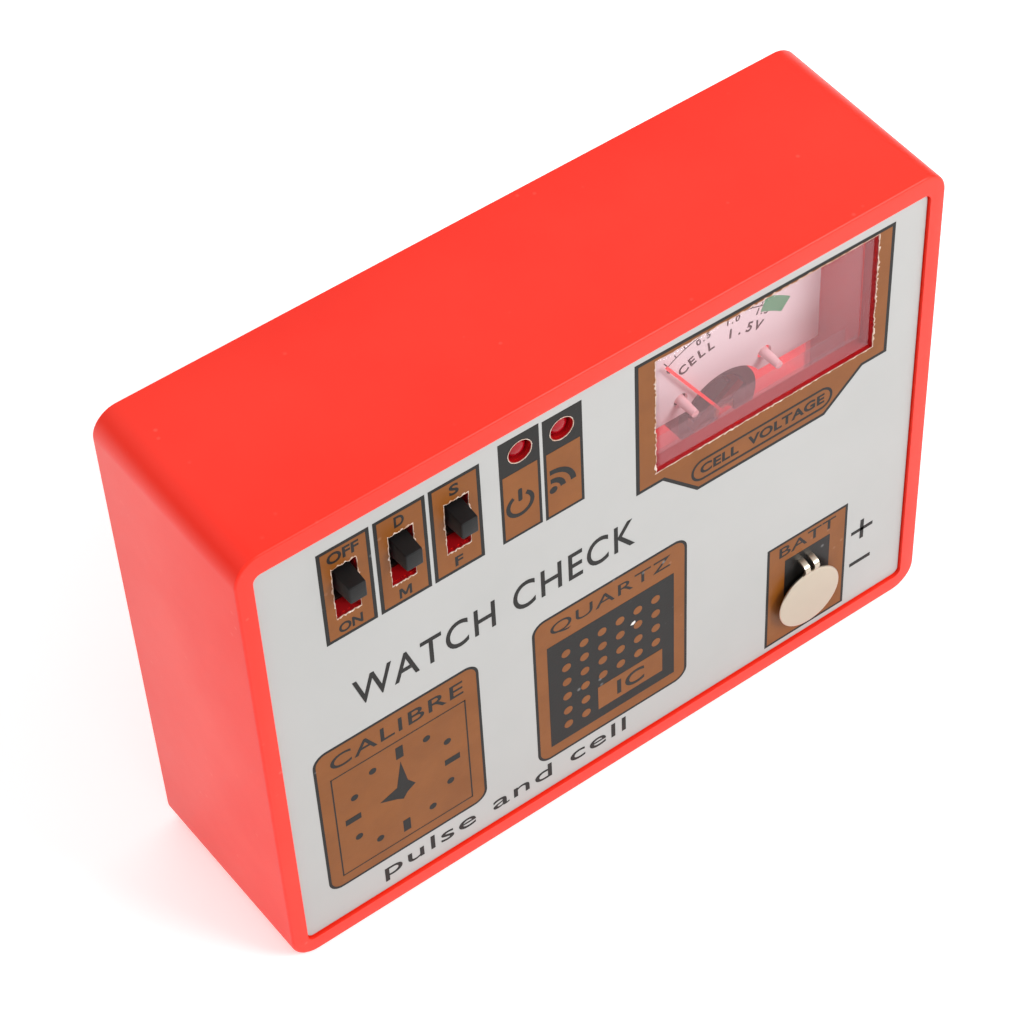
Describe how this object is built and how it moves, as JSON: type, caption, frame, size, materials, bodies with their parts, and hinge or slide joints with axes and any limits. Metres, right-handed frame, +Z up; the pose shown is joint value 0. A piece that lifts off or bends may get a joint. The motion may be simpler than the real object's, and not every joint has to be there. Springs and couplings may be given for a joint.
{
  "type": "quartz watch tester",
  "caption": "Pocket watch tester: red moulded case, slide switches, signal lamps, needle meter and a sprung cell contact on a printed panel.",
  "frame": {"origin": "centre of the box's base, with the tester standing on its long narrow side", "axes": "+X to the right along the panel, -Y out of the panel towards the user, +Z up the panel"},
  "size_m": [0.1124, 0.0338, 0.0833],
  "materials": {
    "red_plastic": "moulded, fine matte grain",
    "label_film": "printed satin film",
    "knob_plastic": "moulded black",
    "switch_steel": "pressed steel",
    "phenolic": "brown phenolic board",
    "lamp_red": "tinted clear epoxy",
    "clear_styrene": "clear styrene",
    "meter_pink": "tinted styrene",
    "scale_white": "matte white, printed",
    "pin_plastic": "moulded",
    "pointer_red": "painted",
    "iron_black": "blackened",
    "copper_wire": "enamelled wire",
    "brass": "bright",
    "steel": "turned",
    "nickel": "satin nickel plate",
    "zinc": "zinc plated",
    "board_laminate": "laminate",
    "ceramic": "silvered ceramic",
    "chip_black": "moulded epoxy",
    "capacitor_blue": "sleeved",
    "trimmer_blue": "moulded",
    "battery_jacket": "printed metal jacket",
    "snap_black": "vinyl",
    "lead_red": "insulated wire",
    "lead_black": "insulated wire"
  },
  "bodies": {
    "case": {"back_cover": "red_plastic", "battery": "battery_jacket", "battery_snap": "snap_black", "board_screw_1": "zinc", "board_screw_2": "zinc", "board_screw_3": "zinc", "capacitor_1": "capacitor_blue", "capacitor_2": "capacitor_blue", "case_shell": "red_plastic", "cell_contact_tail": "nickel", "cell_pad": "nickel", "circuit_board": "board_laminate", "cover_screw_1": "zinc", "cover_screw_2": "zinc", "cover_screw_3": "zinc", "cover_screw_4": "zinc", "front_label": "label_film", "lamp_power": "lamp_red", "lamp_signal": "lamp_red", "lead_black": "lead_black", "lead_red": "lead_red", "meter_base": "meter_pink", "meter_bridge": "brass", "meter_cover": "clear_styrene", "meter_hairspring": "brass", "meter_magnet": "iron_black", "meter_scale": "scale_white", "meter_terminal_1": "brass", "meter_terminal_2": "brass", "pickup_bobbin": "phenolic", "pickup_core": "iron_black", "pickup_winding": "copper_wire", "piezo_ceramic": "ceramic", "piezo_plate": "brass", "scale_pin_left": "pin_plastic", "scale_pin_right": "pin_plastic", "switch_base_1": "phenolic", "switch_base_2": "phenolic", "switch_base_3": "phenolic", "switch_frame_1": "switch_steel", "switch_frame_2": "switch_steel", "switch_frame_3": "switch_steel", "timing_chip": "chip_black", "trimmer_base": "trimmer_blue"},
    "switch_knob_1": {"switch_knob_1": "knob_plastic"},
    "switch_knob_2": {"switch_knob_2": "knob_plastic"},
    "switch_knob_3": {"switch_knob_3": "knob_plastic"},
    "meter_movement": {"meter_pointer": "pointer_red", "meter_coil": "copper_wire", "meter_rear_pivot": "steel"},
    "cell_contact": {"cell_disc": "nickel"},
    "battery_door": {"battery_door": "red_plastic"},
    "trimmer_rotor": {"trimmer_rotor": "brass"}
  },
  "joints": [
    {"name": "switch_1_slide", "type": "slide", "parent": "case", "child": "switch_knob_1", "axis": [0, 0, 1], "range_m": [-0.004, 0]},
    {"name": "switch_2_slide", "type": "slide", "parent": "case", "child": "switch_knob_2", "axis": [0, 0, 1], "range_m": [-0.004, 0]},
    {"name": "switch_3_slide", "type": "slide", "parent": "case", "child": "switch_knob_3", "axis": [0, 0, 1], "range_m": [-0.004, 0]},
    {"name": "meter_swing", "type": "hinge", "parent": "case", "child": "meter_movement", "pos_m": [0.02625, -0.0049, 0.04808], "axis": [0, 1, 0], "range_deg": [0, 66.8], "stiffness_Nm_per_rad": 0.00002},
    {"name": "cell_contact_lift", "type": "hinge", "parent": "case", "child": "cell_contact", "pos_m": [0.0345, -0.0137, 0.01963], "axis": [-1, 0, 0], "range_deg": [0, 30], "stiffness_Nm_per_rad": 0.05},
    {"name": "battery_door_swing", "type": "hinge", "parent": "case", "child": "battery_door", "pos_m": [-0.0457, 0.0169, 0.0192], "axis": [0, 0, 1], "range_deg": [0, 110]},
    {"name": "trimmer_turn", "type": "hinge", "parent": "case", "child": "trimmer_rotor", "pos_m": [-0.0366, -0.0005, 0.05533], "axis": [0, 1, 0], "range_deg": [-135, 135]}
  ]
}
